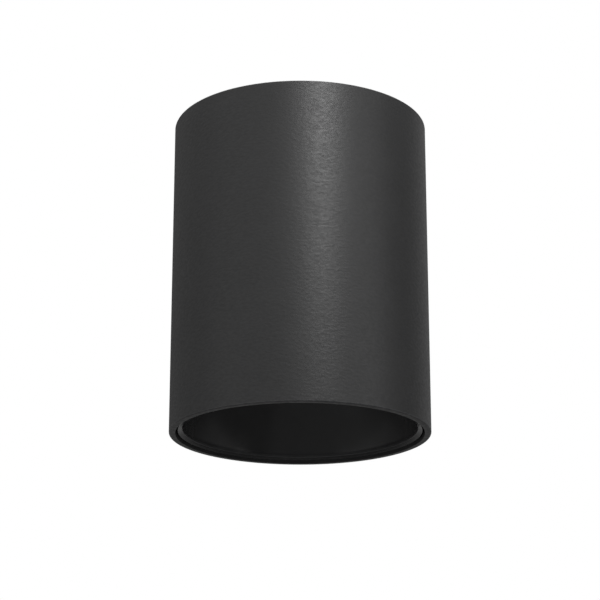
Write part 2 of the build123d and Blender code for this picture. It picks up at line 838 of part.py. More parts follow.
makers = {
    "ceiling_bracket": make_ceiling_bracket,
    "cable_bush": make_cable_bush,
    "housing_tube": make_housing_tube,
    "side_grub_screws": make_side_grub_screws,
    "heat_sink": make_heat_sink,
    "heat_sink_screws": make_heat_sink_screws,
    "thermal_pad": make_thermal_pad,
    "led_board": make_led_board,
    "led_emitter": make_led_emitter,
    "led_holder": make_led_holder,
    "led_holder_screws": make_led_holder_screws,
    "driver_tray": make_driver_tray,
    "tray_screws": make_tray_screws,
    "tray_grommet": make_tray_grommet,
    "driver_base": make_driver_base,
    "driver_cover": make_driver_cover,
    "driver_board": make_driver_board,
    "driver_transformer": make_driver_transformer,
    "driver_capacitors": make_driver_capacitors,
    "driver_screws": make_driver_screws,
    "terminal_block": make_terminal_block,
    "terminal_clamps": make_terminal_clamps,
    "terminal_screws": make_terminal_screws,
    "terminal_fixing_screws": make_terminal_fixing_screws,
    "earth_ring": make_earth_ring,
    "earth_washer": make_earth_washer,
    "earth_screw": make_earth_screw,
    "live_lead": make_live_lead,
    "neutral_lead": make_neutral_lead,
    "earth_lead": make_earth_lead,
    "led_lead_positive": make_led_lead_positive,
    "led_lead_negative": make_led_lead_negative,
    "reflector": make_reflector,
    "emitter_cover": make_emitter_cover,
    "reflector_springs": make_reflector_springs,
    "spring_rivets": make_spring_rivets,
}

os.makedirs("parts", exist_ok=True)
for node, maker in makers.items():
    export_step(maker(), f"parts/{node}.step")
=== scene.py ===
import json
from math import atan2, cos, pi, radians, sin, sqrt, tan

import bmesh
import bpy
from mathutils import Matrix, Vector

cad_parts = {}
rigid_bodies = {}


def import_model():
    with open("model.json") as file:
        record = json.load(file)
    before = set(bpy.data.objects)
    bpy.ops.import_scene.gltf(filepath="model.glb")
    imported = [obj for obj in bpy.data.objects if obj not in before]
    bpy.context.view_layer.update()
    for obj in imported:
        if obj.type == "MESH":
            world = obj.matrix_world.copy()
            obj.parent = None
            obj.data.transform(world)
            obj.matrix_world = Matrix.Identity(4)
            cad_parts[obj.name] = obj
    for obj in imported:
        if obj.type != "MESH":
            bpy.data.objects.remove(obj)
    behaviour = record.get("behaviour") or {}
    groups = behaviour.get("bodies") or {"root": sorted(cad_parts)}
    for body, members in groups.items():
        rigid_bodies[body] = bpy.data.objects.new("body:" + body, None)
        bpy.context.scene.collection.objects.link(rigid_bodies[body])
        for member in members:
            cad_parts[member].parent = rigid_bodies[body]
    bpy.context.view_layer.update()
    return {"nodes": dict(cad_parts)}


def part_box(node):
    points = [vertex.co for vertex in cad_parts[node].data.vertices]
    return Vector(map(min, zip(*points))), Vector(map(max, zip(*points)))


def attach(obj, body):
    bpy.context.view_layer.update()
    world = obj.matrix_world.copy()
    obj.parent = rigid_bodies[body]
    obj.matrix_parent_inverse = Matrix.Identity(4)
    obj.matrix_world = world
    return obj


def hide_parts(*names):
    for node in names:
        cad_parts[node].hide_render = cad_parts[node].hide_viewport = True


for leftover in list(bpy.data.objects):
    bpy.data.objects.remove(leftover)
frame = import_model()

# A surface-mounted cylinder downlight. The ceiling is the plane z = 0, and sizes are metres.
MM = 0.001

# Housing tube
TUBE_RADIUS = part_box("housing_tube")[1].x
TUBE_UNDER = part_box("housing_tube")[0].z
TUBE_WALL = 2.0 * MM
TUBE_EDGE_ROUND = 0.4 * MM
BORE_RADIUS = TUBE_RADIUS - TUBE_WALL
BORE_EDGE_ROUND = 0.15 * MM
LAND_RADIUS = 32.0 * MM
LAND_HEIGHT = 3.0 * MM
LAND_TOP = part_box("heat_sink")[0].z
LAND_UNDER = LAND_TOP - LAND_HEIGHT
LAND_EDGE_ROUND = 0.3 * MM
LAND_HOLE_CIRCLE = 35.0 * MM
LAND_HOLE_RADIUS = 1.65 * MM
LAND_HOLE_ANGLES = (90, 210, 330)
SIDE_HOLE_RADIUS = 2.15 * MM
SIDE_HOLE_HEIGHT = -8.5 * MM
HOLE_DEPTH = 4 * TUBE_WALL

# Reflector
LIP_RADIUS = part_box("reflector")[1].x
LIP_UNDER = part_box("reflector")[0].z
LIP_WIDTH = 1.45 * MM
LIP_HEIGHT = 2.8 * MM
LIP_TOP = LIP_UNDER + LIP_HEIGHT
LIP_RISE = 0.8 * MM
LIP_EDGE_ROUND = 0.12 * MM
LIP_TOP_ROUND = 0.3 * MM
MOUTH_RADIUS = LIP_RADIUS - LIP_WIDTH
MOUTH_EDGE_ROUND = 0.3 * MM
BOWL_FOOT = LIP_UNDER + LIP_HEIGHT / 2
BOWL_BULGE = 4.5 * MM
BOWL_WALL = 1.2 * MM
NECK_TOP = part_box("reflector")[1].z
NECK_RADIUS = 8.8 * MM
NECK_LEDGE_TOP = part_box("emitter_cover")[0].z
NECK_LEDGE = 1.0 * MM
COVER_PLAY = 0.1 * MM
COVER_SEAT_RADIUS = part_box("emitter_cover")[1].x + COVER_PLAY
COLLAR_WALL = 1.8 * MM
COLLAR_RADIUS = COVER_SEAT_RADIUS + COLLAR_WALL
COLLAR_ROUND = 0.25 * MM
SPRING_ANGLES = (60, 180, 300)
SPRING_PLANE = 34.0 * MM
PAD_WIDTH = 9.0 * MM
PAD_HEIGHT = 9.6 * MM
PAD_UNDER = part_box("reflector_springs")[0].z
PAD_ROUND = 0.4 * MM
PAD_ROUND_STEPS = 3

# Where other finishes end on the tube and the reflector
# The tube's rounded outer edges within these two limits are painted lighter: a painted highlight
EDGE_HIGHLIGHT_INSIDE = TUBE_RADIUS - 0.98 * TUBE_EDGE_ROUND
EDGE_HIGHLIGHT_REACH = 0.9 * TUBE_EDGE_ROUND
# The bore inside this limit is dull, and painted lighter than the outer coat: painted light in the shaded
# gap behind the lip
PAINTED_LIGHT_BORE_OUTSIDE = BORE_RADIUS + 0.2 * BORE_EDGE_ROUND
POLISHED_LIP_TOP = LIP_UNDER + 0.88 * LIP_RISE
# The mouth's inner wall inside this radius, between the polished lip and the bowl's foot, is painted
# lighter: a painted reflection
MOUTH_REFLECTION_OUTSIDE = LIP_RADIUS - LIP_WIDTH / 2

# Side of the LED board on which its leads arrive, in degrees about the axis
LEAD_ANGLE = -167.58

# Fineness of the pieces. The drills are turned a little, to keep their corners off the wall's edges.
TURN_SEGMENTS = 240
ARC_STEPS = 40
ROUND_STEPS = 6
DRILL_SIDES = 48
DRILL_TURN = 0.05
SHARP_ANGLE = radians(38)
SAME_POINT = 0.0
WELD_REACH = 0.001 * MM


def node(tree, kind, inputs=None, **settings):
    """New node with its settings, and its inputs joined to sockets or set to values."""
    made = tree.nodes.new(kind)
    for name, value in settings.items():
        setattr(made, name, value)
    for key, value in (inputs or {}).items():
        if isinstance(value, bpy.types.NodeSocket):
            tree.links.new(value, made.inputs[key])
        else:
            made.inputs[key].default_value = value
    return made


def calculate(tree, operation, first, second, **settings):
    """Arithmetic on two numbers or values of a tree."""
    made = node(tree, "ShaderNodeMath", {0: first, 1: second}, operation=operation, **settings)
    return made.outputs[0]


def times(tree, value, factor):
    """Value of a tree, multiplied by a number or by another value."""
    return calculate(tree, "MULTIPLY", value, factor)


def length_of(tree, vector):
    """Length of a vector of a tree."""
    return node(tree, "ShaderNodeVectorMath", {0: vector}, operation="LENGTH").outputs["Value"]


def add_object(name, data):
    """New object in the scene, at the origin."""
    made = bpy.data.objects.new(name, data)
    bpy.context.scene.collection.objects.link(made)
    return made


def on_circle(radius, angle, height):
    """Point at a radius and an angle in degrees about the axis."""
    return Vector((radius * cos(radians(angle)), radius * sin(radians(angle)), height))


# Finishes

EVEN = (1.0, 1.0, 1.0)
LEVEL = (1.0, 1.0, 0.0)
finishes = {}


def new_finish(name, **sockets):
    """New finish with its even values on the shader's own sockets. Gives its tree and its shader."""
    material = bpy.data.materials.new(name)
    material.use_nodes = True
    shader = material.node_tree.nodes["Principled BSDF"]
    for socket, value in sockets.items():
        shader.inputs[socket.replace("_", " ")].default_value = value
    finishes[name] = material
    return material.node_tree, shader


def surface_point(tree, stretch=EVEN, centre=(0.0, 0.0, 0.0)):
    """Object coordinates, moved to a centre and then stretched."""
    coordinates = node(tree, "ShaderNodeTexCoord")
    moved_in = node(
        tree,
        "ShaderNodeVectorMath",
        {0: coordinates.outputs["Object"], 1: centre},
        operation="SUBTRACT",
    )
    return node(
        tree, "ShaderNodeVectorMath", {0: moved_in.outputs[0], 1: stretch}, operation="MULTIPLY"
    ).outputs[0]


def grain(tree, point, size, detail=3.0, roughness=0.5):
    """Noise whose marks are about as large as the given size."""
    made = node(
        tree,
        "ShaderNodeTexNoise",
        {"Vector": point, "Scale": 1.0 / size, "Detail": detail, "Roughness": roughness},
    )
    return made.outputs["Fac"]


def spread(tree, value, low=0.0, high=1.0, start=0.3, end=0.7):
    """Value carried from one range to another."""
    made = node(
        tree,
        "ShaderNodeMapRange",
        {"Value": value, "From Min": start, "From Max": end, "To Min": low, "To Max": high},
    )
    return made.outputs["Result"]


def step_at(tree, value, start, end):
    """Nought below a range of a value, and one above it."""
    return spread(tree, value, 0.0, 1.0, start, end)


def step_down(tree, value, start, end):
    """One below a range of a value, and nought above it."""
    return spread(tree, value, 1.0, 0.0, start, end)


def blend_colours(tree, value, first, second):
    """Colour between two colours, or between colours that other nodes give."""
    made = node(tree, "ShaderNodeMix", data_type="RGBA")
    tree.links.new(value, made.inputs["Factor"])
    for socket, colour in ((made.inputs[6], first), (made.inputs[7], second)):
        if isinstance(colour, bpy.types.NodeSocket):
            tree.links.new(colour, socket)
        else:
            socket.default_value = (*colour, 1.0)
    return made.outputs[2]


def near_blacks(shade, blue, levels):
    """Dark greys at a shade, each with a trace more blue."""
    return [(shade * level, shade * level, blue * shade * level) for level in levels]


def colour_and_gloss(tree, shader, colour, roughness):
    """Joins a colour and a roughness to a shader."""
    tree.links.new(colour, shader.inputs["Base Color"])
    tree.links.new(roughness, shader.inputs["Roughness"])


def relief(tree, shader, height, strength, distance, edge_round=None):
    """Bump from a height, over edges that look a little rounded where a radius is given."""
    inputs = {"Height": height, "Strength": strength, "Distance": distance}
    if edge_round is not None:
        rounded = node(tree, "ShaderNodeBevel", {"Radius": edge_round}, samples=4)
        inputs["Normal"] = rounded.outputs["Normal"]
    bump = node(tree, "ShaderNodeBump", inputs)
    tree.links.new(bump.outputs["Normal"], shader.inputs["Normal"])


def grained_finish(name, dark, light, patch, fine, shine, bump, edge_round=None, stretch=EVEN, **sockets):
    """Finish with soft colour patches, a fine grain in its gloss and a fine relief.

    Patch and fine are the sizes of their marks. Shine is a pair of roughness values, and bump is
    a strength with a height.
    """
    tree, shader = new_finish(name, **sockets)
    point = surface_point(tree, stretch)
    patches = spread(tree, grain(tree, point, patch))
    fine_grain = grain(tree, point, fine, detail=2.0)
    colour = blend_colours(tree, patches, dark, light)
    colour_and_gloss(tree, shader, colour, spread(tree, fine_grain, *shine))
    relief(tree, shader, fine_grain, *bump, edge_round)


def powder_coat(name, shade):
    """Black powder coat with a fine even texture, whose high points are glossier and painted a little
    lighter as a painted highlight. A shade above one gives a lighter copy of the coat, which paints a
    highlight.
    """
    tree, shader = new_finish(name, Specular_IOR_Level=0.38)
    flattened = (1.0, 1.0, 1.8)
    texture = grain(tree, surface_point(tree, flattened), 1.3 * MM, detail=1.5, roughness=0.4)
    patches = spread(tree, grain(tree, surface_point(tree), 9.0 * MM))
    # The last grey is painted on the high points of the texture: a painted highlight
    dark, light, top = near_blacks(shade, 1.03, (0.0080, 0.0105, 0.0150))
    painted_top_highlight = spread(tree, texture, low=0.0, high=0.55, start=0.35, end=0.75)
    colour = blend_colours(tree, painted_top_highlight, blend_colours(tree, patches, dark, light), top)
    colour_and_gloss(tree, shader, colour, spread(tree, texture, 0.50, 0.40))
    relief(tree, shader, texture, strength=0.48, distance=0.1 * MM)


def zinc_plate(name):
    """Zinc-plated sheet steel: faint crystal patches under fine rolling marks."""
    tree, shader = new_finish(name, Metallic=1.0)
    crystal_size = 3.2 * MM
    dark_crystal = (0.50, 0.52, 0.55)
    light_crystal = (0.66, 0.67, 0.68)
    mark_colour = (0.42, 0.43, 0.45)
    drawn_out = (0.06, 1.0, 1.0)
    crystals = node(
        tree, "ShaderNodeTexVoronoi", {"Vector": surface_point(tree), "Scale": 1.0 / crystal_size}
    )
    crystal = node(tree, "ShaderNodeSeparateColor", {"Color": crystals.outputs["Color"]})
    rolled = grain(tree, surface_point(tree, drawn_out), 0.5 * MM, detail=4.0)
    colour = blend_colours(tree, crystal.outputs["Red"], dark_crystal, light_crystal)
    colour = blend_colours(tree, spread(tree, rolled, 0.0, 0.35), colour, mark_colour)
    colour_and_gloss(tree, shader, colour, spread(tree, rolled, 0.27, 0.42))
    relief(tree, shader, rolled, strength=0.18, distance=0.02 * MM, edge_round=0.2 * MM)


def drawn_aluminium(name):
    """Extruded aluminium: fine draw lines up the fins, and grey handling patches."""
    tree, shader = new_finish(name, Metallic=1.0)
    dark_patch = (0.66, 0.67, 0.68)
    light_patch = (0.78, 0.785, 0.79)
    line_colour = (0.52, 0.53, 0.54)
    drawn_out = (1.0, 1.0, 0.02)
    drawn = grain(tree, surface_point(tree, drawn_out), 0.35 * MM, detail=4.0)
    patches = spread(tree, grain(tree, surface_point(tree), 8.0 * MM))
    colour = blend_colours(tree, patches, dark_patch, light_patch)
    colour = blend_colours(tree, spread(tree, drawn, 0.0, 0.4), colour, line_colour)
    colour_and_gloss(tree, shader, colour, spread(tree, drawn, 0.30, 0.46))
    relief(tree, shader, drawn, strength=0.2, distance=0.03 * MM, edge_round=0.15 * MM)


def phosphor_gel(name):
    """Yellow phosphor gel inside a white dam ring."""
    tree, shader = new_finish(name, Coat_Weight=0.25, Coat_Roughness=0.2)
    dark_gel = (0.80, 0.50, 0.045)
    light_gel = (0.88, 0.62, 0.09)
    dam_colour = (0.82, 0.82, 0.79)
    gel_radius = 4.75 * MM
    dam_radius = 4.95 * MM
    radius = length_of(tree, surface_point(tree, LEVEL))
    speckle = grain(tree, surface_point(tree), 0.18 * MM, detail=2.0)
    gel = blend_colours(tree, spread(tree, speckle), dark_gel, light_gel)
    colour = blend_colours(tree, step_at(tree, radius, gel_radius, dam_radius), gel, dam_colour)
    colour_and_gloss(tree, shader, colour, spread(tree, speckle, 0.36, 0.52))
    relief(tree, shader, speckle, strength=0.25, distance=0.03 * MM)


def board_mask(name):
    """White solder mask of the LED board, which leaves the copper bare towards the leads."""
    tree, shader = new_finish(name)
    dark_mask = (0.76, 0.76, 0.74)
    light_mask = (0.83, 0.83, 0.82)
    copper = (0.72, 0.42, 0.22)
    mask_end = 7.2 * MM
    copper_start = 7.35 * MM
    speckle = grain(tree, surface_point(tree), 0.3 * MM)
    mask = blend_colours(tree, spread(tree, speckle), dark_mask, light_mask)
    along = node(
        tree,
        "ShaderNodeVectorMath",
        {0: surface_point(tree), 1: on_circle(1.0, LEAD_ANGLE, 0.0)},
        operation="DOT_PRODUCT",
    ).outputs["Value"]
    colour = blend_colours(tree, step_at(tree, along, mask_end, copper_start), mask, copper)
    colour_and_gloss(tree, shader, colour, spread(tree, speckle, 0.34, 0.46))
    relief(tree, shader, speckle, strength=0.1, distance=0.02 * MM, edge_round=0.1 * MM)


def earth_sleeve(name):
    """Green sleeve with a yellow stripe along each side."""
    tree, shader = new_finish(name)
    dark_green = (0.02, 0.19, 0.035)
    light_green = (0.03, 0.25, 0.05)
    dark_yellow = (0.72, 0.52, 0.01)
    light_yellow = (0.8, 0.6, 0.02)
    green_end = 0.55 * MM
    yellow_start = 0.6 * MM
    low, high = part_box("earth_lead")
    middle = (0.0, (low.y + high.y) / 2, 0.0)
    across = node(tree, "ShaderNodeSeparateXYZ", {0: surface_point(tree, centre=middle)}).outputs["Y"]
    aside = node(tree, "ShaderNodeMath", {0: across}, operation="ABSOLUTE").outputs[0]
    stripe = step_at(tree, aside, green_end, yellow_start)
    speckle = grain(tree, surface_point(tree), 0.5 * MM)
    green = blend_colours(tree, spread(tree, speckle), dark_green, light_green)
    yellow = blend_colours(tree, spread(tree, speckle), dark_yellow, light_yellow)
    colour = blend_colours(tree, stripe, green, yellow)
    colour_and_gloss(tree, shader, colour, spread(tree, speckle, 0.36, 0.46))
    relief(tree, shader, speckle, strength=0.12, distance=0.03 * MM)


def circuit_board(name):
    """Green solder mask over copper tracks."""
    tree, shader = new_finish(name)
    mask_colour = (0.012, 0.11, 0.045)
    track_colour = (0.03, 0.2, 0.08)
    track_spacing = 3.0 * MM
    point = surface_point(tree)
    tracks = node(
        tree,
        "ShaderNodeTexVoronoi",
        {"Vector": point, "Scale": 1.0 / track_spacing},
        feature="DISTANCE_TO_EDGE",
    ).outputs["Distance"]
    line = step_down(tree, tracks, 0.08, 0.1)
    speckle = grain(tree, point, 0.4 * MM)
    colour = blend_colours(tree, line, mask_colour, track_colour)
    colour_and_gloss(tree, shader, colour, spread(tree, speckle, 0.28, 0.4))
    relief(tree, shader, line, strength=0.3, distance=0.03 * MM, edge_round=0.1 * MM)


def winding_wrap(name):
    """Yellow winding tape in level turns."""
    tree, shader = new_finish(name)
    dark_tape = (0.70, 0.46, 0.04)
    light_tape = (0.78, 0.55, 0.06)
    seam_colour = (0.42, 0.26, 0.02)
    half_turn = 1.75 * MM
    height = node(tree, "ShaderNodeSeparateXYZ", {0: surface_point(tree)}).outputs["Z"]
    turns = calculate(tree, "PINGPONG", height, half_turn)
    seam = step_down(tree, turns, 0.05 * MM, 0.15 * MM)
    speckle = grain(tree, surface_point(tree), 0.8 * MM)
    tape = blend_colours(tree, spread(tree, speckle), dark_tape, light_tape)
    colour = blend_colours(tree, seam, tape, seam_colour)
    colour_and_gloss(tree, shader, colour, spread(tree, speckle, 0.25, 0.4))
    relief(tree, shader, seam, strength=0.4, distance=0.05 * MM, edge_round=0.1 * MM)


def reflector_gloss(name, shade):
    """Glossy black moulding with a very slight unevenness. A shade above one gives a lighter copy of it,
    which paints a reflection.
    """
    tree, shader = new_finish(name, Specular_IOR_Level=0.17)
    point = surface_point(tree)
    patches = grain(tree, point, 14.0 * MM, detail=2.0)
    dark, light = near_blacks(shade, 1.02, (0.0195, 0.0230))
    colour = blend_colours(tree, spread(tree, patches), dark, light)
    colour_and_gloss(tree, shader, colour, spread(tree, grain(tree, point, 1.2 * MM), 0.2, 0.27))
    relief(tree, shader, patches, strength=0.04, distance=0.25 * MM)


def lead_sleeve(name, dark, light):
    """Plain PVC sleeve of a lead."""
    grained_finish(
        name, dark, light, patch=3.0 * MM, fine=0.5 * MM, shine=(0.36, 0.48), bump=(0.12, 0.03 * MM)
    )


def moulding(name, dark, light, shine, edge_round):
    """Moulded plastic with the fine texture of its mould."""
    grained_finish(
        name, dark, light, patch=6.0 * MM, fine=0.28 * MM, shine=shine, bump=(0.22, 0.03 * MM),
        edge_round=edge_round,
    )


def bright_metal(name, dark, light, shine):
    """Plated or bare turned metal with fine marks."""
    grained_finish(
        name, dark, light, patch=1.6 * MM, fine=0.25 * MM, shine=shine, bump=(0.1, 0.015 * MM),
        edge_round=0.08 * MM, Metallic=1.0,
    )


powder_coat("powder_black", shade=1.0)
# Lighter copy of the coat for the tube's rounded outer edges: a painted highlight
powder_coat("edge_painted_highlight", shade=2.8)
zinc_plate("zinc_steel")
drawn_aluminium("bare_aluminium")
phosphor_gel("phosphor")
board_mask("board_metal")
earth_sleeve("lead_green_yellow")
circuit_board("circuit_green")
winding_wrap("winding_tape")
reflector_gloss("reflector_black", shade=1.0)
# Lighter copy for the mouth's inner wall: a painted reflection
reflector_gloss("mouth_painted_reflection", shade=1.65)
grained_finish(
    "black_rubber", dark=(0.012, 0.012, 0.012), light=(0.024, 0.024, 0.024), patch=2.5 * MM,
    fine=0.3 * MM, shine=(0.55, 0.75), bump=(0.25, 0.05 * MM), edge_round=0.15 * MM,
)
# Dull coat of the bore, painted lighter than the outer coat as painted light in the shaded gap behind the
# lip
grained_finish(
    "dull_bore_painted_light", dark=(0.019, 0.019, 0.0193), light=(0.024, 0.024, 0.0244), patch=4.0 * MM,
    fine=0.5 * MM, shine=(0.6, 0.75), bump=(0.25, 0.06 * MM), Specular_IOR_Level=0.12,
)
grained_finish(
    "polished_lip", dark=(0.0115, 0.0115, 0.0118), light=(0.0150, 0.0150, 0.0153), patch=6.0 * MM,
    fine=1.2 * MM, shine=(0.12, 0.2), bump=(0.03, 0.05 * MM), Specular_IOR_Level=0.14,
)
grained_finish(
    "black_oxide_steel", dark=(0.018, 0.018, 0.02), light=(0.04, 0.039, 0.038), patch=1.2 * MM,
    fine=0.2 * MM, shine=(0.3, 0.48), bump=(0.15, 0.02 * MM), edge_round=0.1 * MM, Metallic=0.7,
)
bright_metal("screw_steel", dark=(0.55, 0.56, 0.57), light=(0.68, 0.68, 0.67), shine=(0.2, 0.34))
bright_metal("brass", dark=(0.62, 0.42, 0.14), light=(0.76, 0.55, 0.22), shine=(0.2, 0.36))
bright_metal("tinned_copper", dark=(0.60, 0.59, 0.57), light=(0.72, 0.71, 0.69), shine=(0.24, 0.4))
grained_finish(
    "spring_steel", dark=(0.42, 0.43, 0.45), light=(0.55, 0.56, 0.58), patch=2.0 * MM,
    fine=0.2 * MM, shine=(0.2, 0.36), bump=(0.12, 0.015 * MM), edge_round=0.08 * MM,
    stretch=(1.0, 1.0, 0.08), Metallic=1.0,
)
grained_finish(
    "pad_grey", dark=(0.28, 0.30, 0.33), light=(0.36, 0.38, 0.41), patch=1.5 * MM,
    fine=0.3 * MM, shine=(0.6, 0.8), bump=(0.3, 0.04 * MM),
)
moulding(
    "holder_white", dark=(0.74, 0.74, 0.72), light=(0.80, 0.80, 0.79), shine=(0.36, 0.5),
    edge_round=0.15 * MM,
)
moulding(
    "driver_white", dark=(0.70, 0.70, 0.685), light=(0.76, 0.76, 0.75), shine=(0.42, 0.58),
    edge_round=0.3 * MM,
)
grained_finish(
    "capacitor_sleeve", dark=(0.012, 0.016, 0.035), light=(0.02, 0.026, 0.055), patch=2.0 * MM,
    fine=0.4 * MM, shine=(0.22, 0.34), bump=(0.08, 0.02 * MM), edge_round=0.15 * MM,
)
grained_finish(
    "natural_nylon", dark=(0.70, 0.69, 0.63), light=(0.77, 0.76, 0.71), patch=4.0 * MM,
    fine=0.35 * MM, shine=(0.34, 0.48), bump=(0.12, 0.03 * MM), edge_round=0.2 * MM,
    Subsurface_Weight=0.35, Subsurface_Scale=1.5 * MM,
)
lead_sleeve("lead_brown", dark=(0.10, 0.038, 0.016), light=(0.135, 0.052, 0.022))
lead_sleeve("lead_blue", dark=(0.012, 0.075, 0.30), light=(0.02, 0.11, 0.40))
lead_sleeve("lead_red", dark=(0.38, 0.014, 0.012), light=(0.50, 0.022, 0.018))
lead_sleeve("lead_black", dark=(0.010, 0.010, 0.010), light=(0.018, 0.018, 0.018))
grained_finish(
    "clear_cover", dark=(0.93, 0.94, 0.94), light=(0.97, 0.97, 0.97), patch=5.0 * MM,
    fine=0.8 * MM, shine=(0.02, 0.07), bump=(0.02, 0.01 * MM), Transmission_Weight=1.0, IOR=1.49,
)

for part in frame["nodes"].values():
    part.material_slots[0].material = finishes[part.material_slots[0].material.name.split(".")[0]]


# Turned pieces

PATH_RADIUS = 1.0 * MM


def plain_object(name, vertices, edges=()):
    """Object of bare points or lines, which a node tree turns into a piece."""
    mesh = bpy.data.meshes.new(name)
    mesh.from_pydata([tuple(vertex) for vertex in vertices], list(edges), [])
    return add_object(name, mesh)


def smooth_but_sharp(mesh):
    """Smooth shading that stops at sharp edges."""
    mesh.shade_smooth()
    mesh.set_sharp_from_angle(angle=SHARP_ANGLE)


def shaped(made, tree, values):
    """Runs a node tree on an object once, and leaves the result as its plain mesh."""
    modifier = made.modifiers.new("shape", "NODES")
    modifier.node_group = tree
    sockets = [item for item in tree.interface.items_tree if item.item_type == "SOCKET"]
    identifiers = {socket.name: socket.identifier for socket in sockets}
    for name, value in values.items():
        modifier[identifiers[name]] = value
    bpy.context.view_layer.update()
    evaluated = made.evaluated_get(bpy.context.evaluated_depsgraph_get())
    mesh = bpy.data.meshes.new_from_object(evaluated)
    mesh.materials.clear()
    mesh.materials.append(values["Finish"])
    made.modifiers.remove(modifier)
    made.data = mesh
    work = bmesh.new()
    work.from_mesh(mesh)
    bmesh.ops.remove_doubles(work, verts=work.verts, dist=SAME_POINT)
    bmesh.ops.recalc_face_normals(work, faces=work.faces)
    work.to_mesh(mesh)
    work.free()
    smooth_but_sharp(mesh)
    return made


def new_tree(name, inputs):
    """Geometry node tree with named inputs, returned with its two ends."""
    tree = bpy.data.node_groups.new(name, "GeometryNodeTree")
    tree.interface.new_socket("Geometry", in_out="INPUT", socket_type="NodeSocketGeometry")
    tree.interface.new_socket("Geometry", in_out="OUTPUT", socket_type="NodeSocketGeometry")
    for label, kind in inputs:
        tree.interface.new_socket(label, in_out="INPUT", socket_type=kind)
    return tree, node(tree, "NodeGroupInput"), node(tree, "NodeGroupOutput")


def join_up(tree, end, geometry, material):
    """Last nodes of each tree: real geometry with its finish."""
    real = node(tree, "GeometryNodeRealizeInstances", {"Geometry": geometry})
    painted = node(tree, "GeometryNodeSetMaterial", {"Geometry": real.outputs[0], "Material": material})
    tree.links.new(painted.outputs[0], end.inputs[0])


def marked_turn(tree):
    """Turn that each point carries."""
    turn = node(tree, "GeometryNodeInputNamedAttribute", {"Name": "turn"}, data_type="FLOAT_VECTOR")
    return node(tree, "FunctionNodeEulerToRotation", {0: turn.outputs["Attribute"]}).outputs[0]


def cut_away(tree, body, tool):
    """Body without the space that a tool takes up."""
    return node(
        tree,
        "GeometryNodeMeshBoolean",
        {"Mesh 1": body, "Mesh 2": tool},
        operation="DIFFERENCE",
        solver="EXACT",
    ).outputs["Mesh"]


def turned_tree():
    """Turns an outline about the z axis and drills round holes through it.

    The outline lies in the plane of radius and height. Holes stand at points with a turn and a width.
    """
    tree, start, end = new_tree(
        "turned_and_drilled",
        [
            ("Segments", "NodeSocketInt"),
            ("Path Radius", "NodeSocketFloat"),
            ("Holes", "NodeSocketObject"),
            ("Hole Depth", "NodeSocketFloat"),
            ("Finish", "NodeSocketMaterial"),
        ],
    )
    outline = node(tree, "GeometryNodeMeshToCurve", {"Mesh": start.outputs["Geometry"]})
    ring = node(
        tree,
        "GeometryNodeCurvePrimitiveCircle",
        {"Resolution": start.outputs["Segments"], "Radius": start.outputs["Path Radius"]},
        mode="RADIUS",
    )
    body = node(
        tree,
        "GeometryNodeCurveToMesh",
        {"Curve": ring.outputs["Curve"], "Profile Curve": outline.outputs["Curve"]},
    )
    places = node(
        tree, "GeometryNodeObjectInfo", {"Object": start.outputs["Holes"]}, transform_space="ORIGINAL"
    )
    drill = node(
        tree,
        "GeometryNodeMeshCylinder",
        {"Vertices": DRILL_SIDES, "Radius": 1.0, "Depth": start.outputs["Hole Depth"]},
        fill_type="NGON",
    )
    drill = node(
        tree,
        "GeometryNodeTransform",
        {"Geometry": drill.outputs["Mesh"], "Rotation": (0.0, 0.0, DRILL_TURN)},
    )
    width = node(
        tree, "GeometryNodeInputNamedAttribute", {"Name": "width"}, data_type="FLOAT"
    ).outputs["Attribute"]
    size = node(tree, "ShaderNodeCombineXYZ", {0: width, 1: width, 2: 1.0})
    drills = node(
        tree,
        "GeometryNodeInstanceOnPoints",
        {
            "Points": places.outputs["Geometry"],
            "Instance": drill.outputs[0],
            "Rotation": marked_turn(tree),
            "Scale": size.outputs[0],
        },
    )
    real_drills = node(tree, "GeometryNodeRealizeInstances", {"Geometry": drills.outputs[0]})
    drilled = cut_away(tree, body.outputs["Mesh"], real_drills.outputs[0])
    join_up(tree, end, drilled, start.outputs["Finish"])
    return tree


def arc(centre, radius, first, last):
    """Points on an arc between the directions of two points, both ends included."""
    begin = atan2(first[1] - centre[1], first[0] - centre[0])
    finish = atan2(last[1] - centre[1], last[0] - centre[0])
    angles = [begin + (finish - begin) * step / ARC_STEPS for step in range(ARC_STEPS + 1)]
    return [(centre[0] + radius * cos(angle), centre[1] + radius * sin(angle)) for angle in angles]


def rounded_outline(corners):
    """Closed outline whose corners are rounded where a radius is given with them."""
    outline = []
    count = len(corners)
    for index, (x, z, radius) in enumerate(corners):
        if radius == 0.0:
            outline.append((x, z))
            continue
        here = Vector((x, z))
        back = (Vector(corners[index - 1][:2]) - here).normalized()
        on = (Vector(corners[(index + 1) % count][:2]) - here).normalized()
        half = back.angle(on) / 2
        centre = here + (back + on).normalized() * radius / sin(half)
        first = here + back * radius / tan(half)
        last = here + on * radius / tan(half)
        turn = (first - centre).angle_signed(last - centre)
        begin = atan2(first.y - centre.y, first.x - centre.x)
        for step in range(ROUND_STEPS + 1):
            angle = begin - turn * step / ROUND_STEPS
            outline.append((centre.x + radius * cos(angle), centre.y + radius * sin(angle)))
    return outline


turned = turned_tree()


def turned_piece(name, outline, finish, drill_marks):
    """Turned piece from an outline of radius and height pairs."""
    vertices = [(radius - PATH_RADIUS, -height, 0.0) for radius, height in outline]
    edges = [(index, (index + 1) % len(vertices)) for index in range(len(vertices))]
    values = {
        "Segments": TURN_SEGMENTS,
        "Path Radius": PATH_RADIUS,
        "Holes": drill_marks,
        "Hole Depth": HOLE_DEPTH,
        "Finish": finishes[finish],
    }
    return shaped(plain_object(name, vertices, edges), turned, values)


def paint(made, finish, chosen):
    """Gives another finish to the faces whose middles are chosen."""
    made.data.materials.append(finishes[finish])
    for face in made.data.polygons:
        if chosen(face.center):
            face.material_index = len(made.data.materials) - 1


